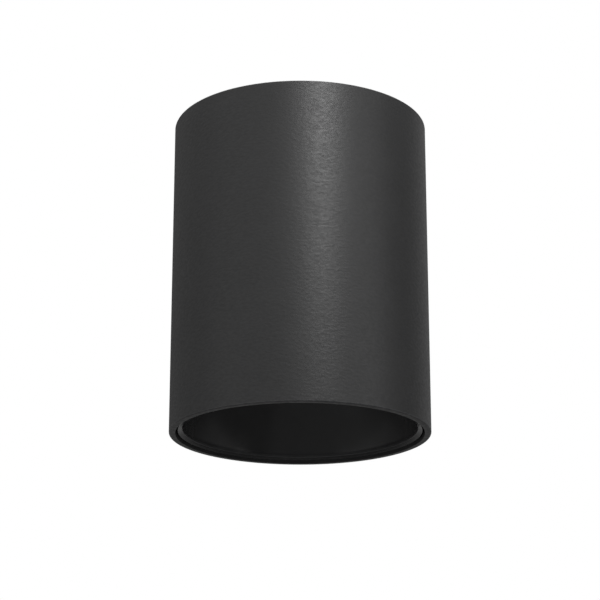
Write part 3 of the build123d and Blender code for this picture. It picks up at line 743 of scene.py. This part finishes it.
def marks(name, places):
    """Points that carry a turn and a width, for a node tree to read."""
    made = plain_object(name, [place for place, turn, width in places])
    attributes = made.data.attributes
    attributes.new("turn", "FLOAT_VECTOR", "POINT")
    attributes.new("width", "FLOAT", "POINT")
    for index, (place, turn, width) in enumerate(places):
        attributes["turn"].data[index].vector = turn
        attributes["width"].data[index].value = width
    return made


# Housing

UPRIGHT = (0.0, 0.0, 0.0)
UPSIDE_DOWN = (pi, 0.0, 0.0)
SIDEWAYS = (0.0, pi / 2, 0.0)


def housing_outline():
    """Section of the tube with its inner land, and rounded edges."""
    corners = [
        (TUBE_RADIUS, 0.0, TUBE_EDGE_ROUND),
        (BORE_RADIUS, 0.0, BORE_EDGE_ROUND),
        (BORE_RADIUS, LAND_TOP, 0.0),
        (LAND_RADIUS, LAND_TOP, LAND_EDGE_ROUND),
        (LAND_RADIUS, LAND_UNDER, LAND_EDGE_ROUND),
        (BORE_RADIUS, LAND_UNDER, 0.0),
        (BORE_RADIUS, TUBE_UNDER, BORE_EDGE_ROUND),
        (TUBE_RADIUS, TUBE_UNDER, TUBE_EDGE_ROUND),
    ]
    return rounded_outline(corners)


def housing_drills():
    """Marks for the holes of the two side screws and of the heat sink's screws."""
    places = [
        ((side * TUBE_RADIUS, 0.0, SIDE_HOLE_HEIGHT), SIDEWAYS, SIDE_HOLE_RADIUS) for side in (-1, 1)
    ]
    middle = (LAND_TOP + LAND_UNDER) / 2
    for angle in LAND_HOLE_ANGLES:
        places.append((on_circle(LAND_HOLE_CIRCLE, angle, middle), UPRIGHT, LAND_HOLE_RADIUS))
    return marks("housing_drills", places)


def on_painted_edge_highlight(place):
    """Whether a place lies on the tube's rounded outer edges, which are painted lighter as a painted
    highlight.
    """
    from_end = min(place.z - TUBE_UNDER, -place.z)
    return from_end < EDGE_HIGHLIGHT_REACH and place.xy.length > EDGE_HIGHLIGHT_INSIDE


drill_marks = housing_drills()
housing = turned_piece("housing_shell", housing_outline(), "powder_black", drill_marks)
# Painted highlight on the tube's rounded outer edges
paint(housing, "edge_painted_highlight", on_painted_edge_highlight)
# Painted light over the bore
paint(housing, "dull_bore_painted_light", lambda place: place.xy.length < PAINTED_LIGHT_BORE_OUTSIDE)
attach(housing, "housing")
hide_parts("housing_tube")
bpy.data.objects.remove(drill_marks)


# Reflector


def bowl_arc():
    """Upper end, lower end, centre and radius of the reflecting arc, in the plane of radius and height."""
    upper = Vector((NECK_RADIUS, NECK_LEDGE_TOP - NECK_LEDGE))
    lower = Vector((MOUTH_RADIUS, BOWL_FOOT))
    chord = lower - upper
    radius = (chord.length ** 2 / 4 + BOWL_BULGE ** 2) / (2 * BOWL_BULGE)
    inward = Vector((chord.y, -chord.x)).normalized()
    centre = (upper + lower) / 2 + inward * (radius - BOWL_BULGE)
    return upper, lower, centre, radius


ARC_UPPER, ARC_LOWER, ARC_CENTRE, ARC_RADIUS = bowl_arc()


def wall_radius(height, arc_radius):
    """Distance from the axis of an arc of the bowl's wall, at a height."""
    return ARC_CENTRE.x + sqrt(arc_radius ** 2 - (height - ARC_CENTRE.y) ** 2)


def reflector_outline():
    """Section of the bowl with its lip, and of the neck with the cover's seat."""
    outer = ARC_RADIUS + BOWL_WALL
    skirt = (wall_radius(LIP_TOP, outer), LIP_TOP)
    shoulder = (COLLAR_RADIUS, ARC_CENTRE.y + sqrt(outer ** 2 - (COLLAR_RADIUS - ARC_CENTRE.x) ** 2))
    corners = [(x, z, 0.0) for x, z in arc(ARC_CENTRE, ARC_RADIUS, ARC_UPPER, ARC_LOWER)]
    corners += [
        (MOUTH_RADIUS, LIP_UNDER + LIP_RISE, MOUTH_EDGE_ROUND),
        (LIP_RADIUS, LIP_UNDER, LIP_EDGE_ROUND),
        (LIP_RADIUS, LIP_TOP, LIP_TOP_ROUND),
    ]
    corners += [(x, z, 0.0) for x, z in arc(ARC_CENTRE, outer, skirt, shoulder)]
    corners += [
        (COLLAR_RADIUS, NECK_TOP, COLLAR_ROUND),
        (COVER_SEAT_RADIUS, NECK_TOP, COLLAR_ROUND / 2),
        (COVER_SEAT_RADIUS, NECK_LEDGE_TOP, 0.0),
        (NECK_RADIUS, NECK_LEDGE_TOP, 0.0),
    ]
    return rounded_outline(corners)


def spring_pads():
    """Three flat pads that carry the springs, each rooted in the middle of the reflector's wall."""
    middle = ARC_RADIUS + BOWL_WALL / 2
    top = PAD_UNDER + PAD_HEIGHT
    section = [
        (SPRING_PLANE, PAD_UNDER),
        (SPRING_PLANE, top),
        (wall_radius(top, middle), top),
        (wall_radius(PAD_UNDER, middle), PAD_UNDER),
    ]
    work = bmesh.new()
    for angle in SPRING_ANGLES:
        along = on_circle(1.0, angle, 0.0)
        across = on_circle(1.0, angle + 90, 0.0)
        rows = []
        for side in (-1, 1):
            shift = across * side * PAD_WIDTH / 2
            rows.append([work.verts.new(along * r + shift + Vector((0.0, 0.0, z))) for r, z in section])
        work.faces.new(rows[0])
        work.faces.new(list(reversed(rows[1])))
        for index in range(len(section)):
            following = (index + 1) % len(section)
            work.faces.new((rows[0][following], rows[0][index], rows[1][index], rows[1][following]))
    bmesh.ops.recalc_face_normals(work, faces=work.faces)
    mesh = bpy.data.meshes.new("spring_pads")
    work.to_mesh(mesh)
    work.free()
    mesh.materials.append(finishes["reflector_black"])
    made = add_object("spring_pads", mesh)
    bevel = made.modifiers.new("edges", "BEVEL")
    bevel.width = PAD_ROUND
    bevel.segments = PAD_ROUND_STEPS
    bevel.limit_method = "ANGLE"
    return made


def on_mouth_painted_reflection(place):
    """Whether a place lies between the polished lip and the foot of the bowl, on the inner side, which gets
    a lighter finish as a painted reflection.
    """
    return POLISHED_LIP_TOP <= place.z < BOWL_FOOT and place.xy.length < MOUTH_REFLECTION_OUTSIDE


no_marks = marks("no_drills", [])
bowl = turned_piece("reflector_bowl", reflector_outline(), "reflector_black", no_marks)
bpy.data.objects.remove(no_marks)
paint(bowl, "polished_lip", lambda place: place.z < POLISHED_LIP_TOP)
# Painted reflection on the mouth's inner wall
paint(bowl, "mouth_painted_reflection", on_mouth_painted_reflection)
pads = spring_pads()
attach(bowl, "reflector")
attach(pads, "reflector")
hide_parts("reflector")


# Screws

# Sizes of the screws, in millimetres
SIZE_LABELS = (
    "Head Width", "Head Height", "Shank Width", "Length", "Pitch", "Slot Length", "Slot Width", "Slot Depth"
)
SLOT = {"Slot Length": 2.8, "Slot Width": 0.6, "Slot Depth": 1.1}
M3 = {"Head Width": 5.0, "Head Height": 2.0, "Shank Width": 3.0, "Pitch": 0.5}
M2_5 = {"Head Width": 4.4, "Head Height": 2.0, "Shank Width": 2.5, "Pitch": 0.45}
M2_4 = {"Head Width": 3.4, "Head Height": 1.6, "Shank Width": 2.4, "Pitch": 0.45}
M4 = {"Head Width": 7.0, "Head Height": 2.4, "Shank Width": 4.0, "Pitch": 0.7}

# Fineness and shares of a screw. Its sides and rings keep the slot's corners off the head's edges.
HEAD_SIDES = 44
HEAD_RINGS = 6
DOME_POWER = 3.0
DOME_FALL = 0.4
CORE_SIDES = 24
THREAD_STEPS = 20
RIDGE_SIDES = 4
THREAD_DEPTH = 0.7
RIDGE_RADIUS = 0.4

# Places of the screws, in millimetres
TRAY_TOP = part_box("driver_tray")[1].z / MM
TRAY_SCREW_CIRCLE = 32.5
TRAY_SCREW_ANGLES = (30, 150, 270)
HOLDER_SCREW_CIRCLE = 13.4
HOLDER_SCREW_ANGLES = (LEAD_ANGLE - 90, LEAD_ANGLE + 90)
HOLDER_UNDER = -56.5
DRIVER_SCREW_X = 25.437
DRIVER_SCREW_Y = -18.75
DRIVER_LUG_TOP = TRAY_TOP + 2.0
TERMINAL_FIXING_ROWS = (11.5, 21.5)
TERMINAL_FIXING_SEAT = TRAY_TOP + 4.6
TERMINAL_ROWS = (6.5, 16.5, 26.5)
TERMINAL_SCREW_X = 4.6
TERMINAL_SCREW_SEAT = TRAY_TOP + 9.0
EARTH_SCREW_PLACE = (25.5, 6.5, TRAY_TOP + 1.4)


def moved(tree, geometry, x, y, z):
    """Geometry moved by numbers or by values of the tree."""
    offset = node(tree, "ShaderNodeCombineXYZ", {0: x, 1: y, 2: z})
    return node(
        tree, "GeometryNodeTransform", {"Geometry": geometry, "Translation": offset.outputs[0]}
    ).outputs[0]


def domed(tree, head, width, height):
    """Head whose top face falls away towards its rim."""
    place = node(tree, "GeometryNodeInputPosition").outputs[0]
    parts = node(tree, "ShaderNodeSeparateXYZ", {0: place})
    level = node(tree, "ShaderNodeVectorMath", {0: place, 1: LEVEL}, operation="MULTIPLY").outputs[0]
    share = calculate(tree, "DIVIDE", length_of(tree, level), times(tree, width, 0.5))
    fall = times(tree, calculate(tree, "POWER", share, DOME_POWER), times(tree, height, -DOME_FALL))
    top = node(
        tree,
        "FunctionNodeCompare",
        {"A": parts.outputs["Z"], "B": times(tree, height, 0.5)},
        data_type="FLOAT",
        operation="GREATER_THAN",
    )
    offset = node(tree, "ShaderNodeCombineXYZ", {2: fall})
    return node(
        tree,
        "GeometryNodeSetPosition",
        {"Geometry": head, "Selection": top.outputs[0], "Offset": offset.outputs[0]},
    ).outputs[0]


def slotted_head(tree, size, cross):
    """Domed head with a slot, and with a second one across it where a cross is wanted."""
    head = node(
        tree,
        "GeometryNodeMeshCylinder",
        {
            "Vertices": HEAD_SIDES,
            "Side Segments": 1,
            "Fill Segments": HEAD_RINGS,
            "Radius": times(tree, size["Head Width"], 0.5),
            "Depth": size["Head Height"],
        },
        fill_type="TRIANGLE_FAN",
    ).outputs["Mesh"]
    head = moved(tree, head, 0.0, 0.0, times(tree, size["Head Height"], 0.5))
    head = domed(tree, head, size["Head Width"], size["Head Height"])
    slot_size = node(
        tree,
        "ShaderNodeCombineXYZ",
        {0: size["Slot Length"], 1: size["Slot Width"], 2: times(tree, size["Slot Depth"], 2.0)},
    )
    slot = node(tree, "GeometryNodeMeshCube", {"Size": slot_size.outputs[0]}).outputs["Mesh"]
    slot = moved(tree, slot, 0.0, 0.0, size["Head Height"])
    crossing = node(tree, "GeometryNodeTransform", {"Geometry": slot, "Rotation": (0.0, 0.0, pi / 2)})
    second = node(
        tree, "GeometryNodeSwitch", {"Switch": cross, "True": crossing.outputs[0]}, input_type="GEOMETRY"
    )
    return cut_away(tree, cut_away(tree, head, slot), second.outputs[0])


def threaded_shank(tree, size):
    """Core of a screw and the ridge that winds about it, which hang below the head."""
    core_width = calculate(tree, "SUBTRACT", size["Shank Width"], times(tree, size["Pitch"], THREAD_DEPTH))
    core = node(
        tree,
        "GeometryNodeMeshCylinder",
        {"Vertices": CORE_SIDES, "Radius": times(tree, core_width, 0.5), "Depth": size["Length"]},
        fill_type="NGON",
    ).outputs["Mesh"]
    core = moved(tree, core, 0.0, 0.0, times(tree, size["Length"], -0.5))
    ridge_radius = times(tree, size["Pitch"], RIDGE_RADIUS)
    path_radius = calculate(tree, "SUBTRACT", times(tree, size["Shank Width"], 0.5), ridge_radius)
    thread_length = calculate(tree, "SUBTRACT", size["Length"], size["Pitch"])
    helix = node(
        tree,
        "GeometryNodeCurveSpiral",
        {
            "Resolution": THREAD_STEPS,
            "Rotations": calculate(tree, "DIVIDE", thread_length, size["Pitch"]),
            "Start Radius": path_radius,
            "End Radius": path_radius,
            "Height": thread_length,
        },
    ).outputs["Curve"]
    helix = moved(tree, helix, 0.0, 0.0, times(tree, thread_length, -1.0))
    ridge = node(
        tree,
        "GeometryNodeCurvePrimitiveCircle",
        {"Resolution": RIDGE_SIDES, "Radius": ridge_radius},
        mode="RADIUS",
    )
    thread = node(
        tree,
        "GeometryNodeCurveToMesh",
        {"Curve": helix, "Profile Curve": ridge.outputs["Curve"], "Fill Caps": True},
    )
    return core, thread.outputs["Mesh"]


def screw_tree():
    """Domed screws with a thread and a cross or a single slot, one at each point that it is given."""
    inputs = [(label, "NodeSocketFloat") for label in SIZE_LABELS]
    inputs += [("Cross", "NodeSocketBool"), ("Finish", "NodeSocketMaterial")]
    tree, start, end = new_tree("domed_screws", inputs)
    size = {label: start.outputs[label] for label in SIZE_LABELS}
    head = slotted_head(tree, size, start.outputs["Cross"])
    whole = node(tree, "GeometryNodeJoinGeometry")
    for part in (head, *threaded_shank(tree, size)):
        tree.links.new(part, whole.inputs[0])
    placed = node(
        tree,
        "GeometryNodeInstanceOnPoints",
        {"Points": start.outputs["Geometry"], "Instance": whole.outputs[0], "Rotation": marked_turn(tree)},
    )
    join_up(tree, end, placed.outputs[0], start.outputs["Finish"])
    return tree


screws = screw_tree()


def screw_set(replaced, sizes, length, places, turn, slot="screw_steel", cross=True):
    """Screws at places, which are the middles of the undersides of their heads."""
    made = marks(replaced + "_threaded", [(Vector(place) * MM, turn, 0.0) for place in places])
    values = {label: value * MM for label, value in {**sizes, **SLOT, "Length": length}.items()}
    shaped(made, screws, {**values, "Cross": cross, "Finish": finishes[slot]})
    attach(made, "housing")
    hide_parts(replaced)


def ring_of(radius, angles, height):
    """Places on a circle."""
    return [on_circle(radius, angle, height) for angle in angles]


tray_places = ring_of(TRAY_SCREW_CIRCLE, TRAY_SCREW_ANGLES, TRAY_TOP)
heat_sink_places = ring_of(LAND_HOLE_CIRCLE / MM, LAND_HOLE_ANGLES, LAND_UNDER / MM)
holder_places = ring_of(HOLDER_SCREW_CIRCLE, HOLDER_SCREW_ANGLES, HOLDER_UNDER)
driver_places = [(side * DRIVER_SCREW_X, DRIVER_SCREW_Y, DRIVER_LUG_TOP) for side in (-1, 1)]
fixing_places = [(0.0, y, TERMINAL_FIXING_SEAT) for y in TERMINAL_FIXING_ROWS]
clamp_places = [
    (side * TERMINAL_SCREW_X, y, TERMINAL_SCREW_SEAT) for y in TERMINAL_ROWS for side in (-1, 1)
]

screw_set("tray_screws", M3, length=8.7, places=tray_places, turn=UPRIGHT)
screw_set("heat_sink_screws", M3, length=6.9, places=heat_sink_places, turn=UPSIDE_DOWN)
screw_set("led_holder_screws", M3, length=5.7, places=holder_places, turn=UPSIDE_DOWN)
screw_set("driver_screws", M3, length=4.0, places=driver_places, turn=UPRIGHT)
screw_set("terminal_fixing_screws", M2_5, length=6.6, places=fixing_places, turn=UPRIGHT)
screw_set("terminal_screws", M2_4, length=3.0, places=clamp_places, turn=UPRIGHT, cross=False)
screw_set("earth_screw", M4, length=4.2, places=[EARTH_SCREW_PLACE], turn=UPRIGHT, slot="brass")


# Driver cover


def welded(node_name, body):
    """Copy of a CAD node without the hairline gaps that its facets leave at rounded corners."""
    source = frame["nodes"][node_name]
    mesh = source.data.copy()
    mesh.transform(source.matrix_world)
    work = bmesh.new()
    work.from_mesh(mesh)
    bmesh.ops.remove_doubles(work, verts=work.verts, dist=WELD_REACH)
    bmesh.ops.dissolve_degenerate(work, edges=work.edges, dist=WELD_REACH)
    work.to_mesh(mesh)
    work.free()
    smooth_but_sharp(mesh)
    made = add_object(node_name + "_welded", mesh)
    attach(made, body)
    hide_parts(node_name)


welded("driver_cover", "housing")


# Stage, camera and light

FLOOR_HEIGHT = -1.1
FLOOR_RADIUS = 12.0
FLOOR_SIDES = 96
FLOOR_PALE_FROM = 0.8
FLOOR_WHITE_FROM = 3.2
FLOOR_PATCH = 0.4
FLOOR_LEAST_GLOW = 0.6
EVEN_LIGHT = 0.45
WHITE = (1.0, 1.0, 1.0)

CAMERA_LENS = 115.2
CAMERA_SENSOR = 36.0
CAMERA_NEAREST = 0.01
CAMERA_PLACE = (-0.00003, -0.56971, -0.24189)
CAMERA_TILT = 18.0106

LAMP_DISTANCE = 1.2
CARD_DISTANCE = 1.6
CARD_STEPS = 8
BACK_CARD_TOP = 1.3
LOW_CARD_TOP = -0.1
LOW_CARD_FOOT = -0.5
FLOOR_CARD_FOOT = -1.05
FLOOR_CARD_INSIDE = 0.05

# Greys of the cards by azimuth, which is 0 in front and grows towards the right of the photograph
BACK_LEVELS = [
    (82, 0.3), (118, 0.26), (135, 0.42), (176, 0.27), (200, 0.12), (237, 0.34), (268, 0.5), (286, 0.85)
]
LOW_LEVELS = [
    (-35, 0.35), (30, 0.35), (38, 0.08), (54, 0.08), (61, 0.7), (90, 0.7), (98, 0.4), (130, 0.3),
    (226, 0.3), (256, 0.35), (266, 0.5), (285, 0.95), (318, 0.95), (325, 0.35),
]
FLOOR_LEVELS = [
    (-35, 0.3), (30, 0.3), (38, 0.08), (130, 0.08), (152, 0.1), (168, 0.24), (192, 0.24), (208, 0.1),
    (230, 0.12), (263, 0.15), (290, 0.4), (318, 0.4), (325, 0.3),
]


def seen_directly(tree):
    """One for rays from the camera, mirrors and glass, and nought for the light that surfaces gather."""
    path = node(tree, "ShaderNodeLightPath").outputs
    mirrored = calculate(tree, "ADD", path["Is Camera Ray"], path["Is Glossy Ray"])
    return calculate(tree, "ADD", mirrored, path["Is Transmission Ray"], use_clamp=True)


def bare_material(name):
    """Material whose tree has no nodes yet, returned with that tree."""
    material = bpy.data.materials.new(name)
    material.use_nodes = True
    material.node_tree.nodes.clear()
    return material, material.node_tree


def floor_paint():
    """Pale matt paint that grows white with distance from the light, and shows a shadow close to it."""
    material, tree = bare_material("floor_paint")
    point = surface_point(tree)
    far = step_at(tree, length_of(tree, point), FLOOR_PALE_FROM, FLOOR_WHITE_FROM)
    patches = spread(tree, grain(tree, point, FLOOR_PATCH))
    colour = blend_colours(tree, patches, (0.80, 0.80, 0.80), (0.82, 0.82, 0.82))
    colour = blend_colours(tree, far, colour, WHITE)
    matt = node(tree, "ShaderNodeBsdfDiffuse", {"Color": colour})
    pale = node(tree, "ShaderNodeEmission", {"Color": colour, "Strength": 1.0})
    glow = times(tree, seen_directly(tree), spread(tree, far, FLOOR_LEAST_GLOW, 1.0, 0.0, 1.0))
    mixed = node(tree, "ShaderNodeMixShader", {0: glow, 1: matt.outputs[0], 2: pale.outputs[0]})
    node(tree, "ShaderNodeOutputMaterial", {"Surface": mixed.outputs[0]})
    return material


def stage_floor():
    """Round floor below the light, so wide that its edge is lost in white."""
    work = bmesh.new()
    bmesh.ops.create_circle(work, cap_ends=True, radius=FLOOR_RADIUS, segments=FLOOR_SIDES)
    bmesh.ops.translate(work, verts=work.verts, vec=(0.0, 0.0, FLOOR_HEIGHT))
    mesh = bpy.data.meshes.new("floor")
    work.to_mesh(mesh)
    work.free()
    mesh.materials.append(floor_paint())
    floor = add_object("floor", mesh)


def soft_lamp(name, azimuth, elevation, width, height, power):
    """Soft lamp aimed at the middle of the light, placed by its direction from there."""
    lamp = bpy.data.lights.new(name, "AREA")
    lamp.shape = "RECTANGLE"
    lamp.size = width
    lamp.size_y = height
    lamp.energy = power
    made = add_object(name, lamp)
    level = cos(radians(elevation))
    turn = radians(azimuth)
    away = Vector((sin(turn) * level, -cos(turn) * level, sin(radians(elevation))))
    made.location = Vector((0.0, 0.0, TUBE_UNDER / 2)) + away * LAMP_DISTANCE
    made.rotation_euler = away.to_track_quat("Z", "Y").to_euler()


def card_glow(name):
    """Glow in the grey that each point of a card carries."""
    material, tree = bare_material(name)
    grey = node(tree, "ShaderNodeAttribute", attribute_name="grey")
    glow = node(tree, "ShaderNodeEmission", {"Strength": grey.outputs["Fac"]})
    node(tree, "ShaderNodeOutputMaterial", {"Surface": glow.outputs[0]})
    return material


def studio_card(name, foot, head, levels):
    """Grey card curved about the light, which only reflections see.

    Its foot and head are pairs of a distance from the axis and a height, and its levels are pairs of
    an azimuth and a grey.
    """
    sweep = []
    for (start, first), (end, last) in zip(levels, levels[1:]):
        for step in range(CARD_STEPS):
            share = step / CARD_STEPS
            sweep.append((start + (end - start) * share, first + (last - first) * share))
    sweep.append(levels[-1])
    vertices = []
    for azimuth, level in sweep:
        for distance, height in (foot, head):
            vertices.append((distance * sin(radians(azimuth)), -distance * cos(radians(azimuth)), height))
    faces = [(2 * step, 2 * step + 2, 2 * step + 3, 2 * step + 1) for step in range(len(sweep) - 1)]
    mesh = bpy.data.meshes.new(name)
    mesh.from_pydata(vertices, [], faces)
    greys = mesh.attributes.new("grey", "FLOAT", "POINT")
    for index, (azimuth, level) in enumerate(sweep):
        greys.data[2 * index].value = level
        greys.data[2 * index + 1].value = level
    mesh.materials.append(card_glow(name))
    card = add_object(name, mesh)
    card.visible_camera = False
    card.visible_diffuse = False
    card.visible_transmission = False
    card.visible_shadow = False


def white_surround():
    """World that looks white, and gives a plain even light to what isn't glossy."""
    world = bpy.data.worlds.new("surround")
    bpy.context.scene.world = world
    world.use_nodes = True
    tree = world.node_tree
    tree.nodes.clear()
    even = node(tree, "ShaderNodeBackground", {"Color": (*WHITE, 1.0), "Strength": EVEN_LIGHT})
    white = node(tree, "ShaderNodeBackground", {"Color": (*WHITE, 1.0), "Strength": 1.0})
    mixed = node(
        tree, "ShaderNodeMixShader", {0: seen_directly(tree), 1: even.outputs[0], 2: white.outputs[0]}
    )
    node(tree, "ShaderNodeOutputWorld", {"Surface": mixed.outputs[0]})


def photo_camera():
    """Camera in front of the light and below it, which looks up at it as in the photograph."""
    lens = bpy.data.cameras.new("camera")
    lens.lens = CAMERA_LENS
    lens.sensor_width = CAMERA_SENSOR
    lens.clip_start = CAMERA_NEAREST
    camera = add_object("camera", lens)
    camera.location = CAMERA_PLACE
    camera.rotation_euler = (radians(90 + CAMERA_TILT), 0.0, 0.0)
    bpy.context.scene.camera = camera


bpy.context.scene.view_settings.view_transform = "Standard"
stage_floor()
white_surround()
photo_camera()
soft_lamp("key_lamp", azimuth=20.2, elevation=36.8, width=0.31, height=0.8, power=10.7)
soft_lamp("side_lamp", azimuth=60, elevation=10, width=0.35, height=0.9, power=1.05)
soft_lamp("back_lamp", azimuth=180, elevation=50, width=0.5, height=0.8, power=4.0)
low_card_foot = (CARD_DISTANCE, LOW_CARD_FOOT)
low_card_top = (CARD_DISTANCE, LOW_CARD_TOP)
studio_card("back_card", low_card_top, (CARD_DISTANCE, BACK_CARD_TOP), BACK_LEVELS)
studio_card("low_card", low_card_foot, low_card_top, LOW_LEVELS)
studio_card("floor_card", (FLOOR_CARD_INSIDE, FLOOR_CARD_FOOT), low_card_foot, FLOOR_LEVELS)
